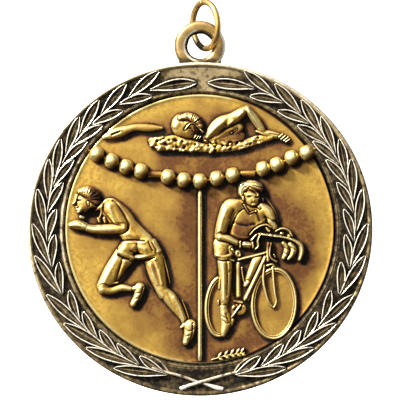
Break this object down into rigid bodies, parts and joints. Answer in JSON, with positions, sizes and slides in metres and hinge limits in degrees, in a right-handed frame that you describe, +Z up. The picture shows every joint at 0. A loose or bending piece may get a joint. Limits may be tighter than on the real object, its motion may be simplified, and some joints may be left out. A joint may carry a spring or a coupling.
{
  "type": "sports finisher medal",
  "caption": "Round hanging medal: cast laurel-wreath frame, struck relief insert of swimmer, runner and cyclist, suspension loop and split jump ring for a ribbon.",
  "frame": {"origin": "the ribbon's seat: the inside of the jump ring at its top, on the middle of the wire's inner surface", "axes": "+Z up from the medal towards the ribbon, struck front faces -Y, +X to the viewer's right"},
  "size_m": [0.065, 0.0084, 0.0747],
  "materials": {
    "antique_frame": "antiqued, rubbed bright on the raised edges",
    "antique_gold": "gold-plated and antiqued, polished on the figures",
    "loop_gold": "cast, lightly antiqued",
    "ring_wire": "bright gold-plated wire",
    "solder": "dull, darkened",
    "pad": "thin foam adhesive pad"
  },
  "bodies": {
    "ring": {"jump_ring": "ring_wire"},
    "medal": {"medal_frame": "antique_frame", "centre_disc": "antique_gold", "adhesive_pad": "pad", "suspension_loop": "loop_gold", "loop_braze": "solder"}
  },
  "joints": [
    {"name": "medal_swing", "type": "hinge", "parent": "ring", "child": "medal", "pos_m": [-0.00066, 0, -0.00426], "axis": [0.848, 0.5299, 0], "range_deg": [-80, 80]}
  ]
}
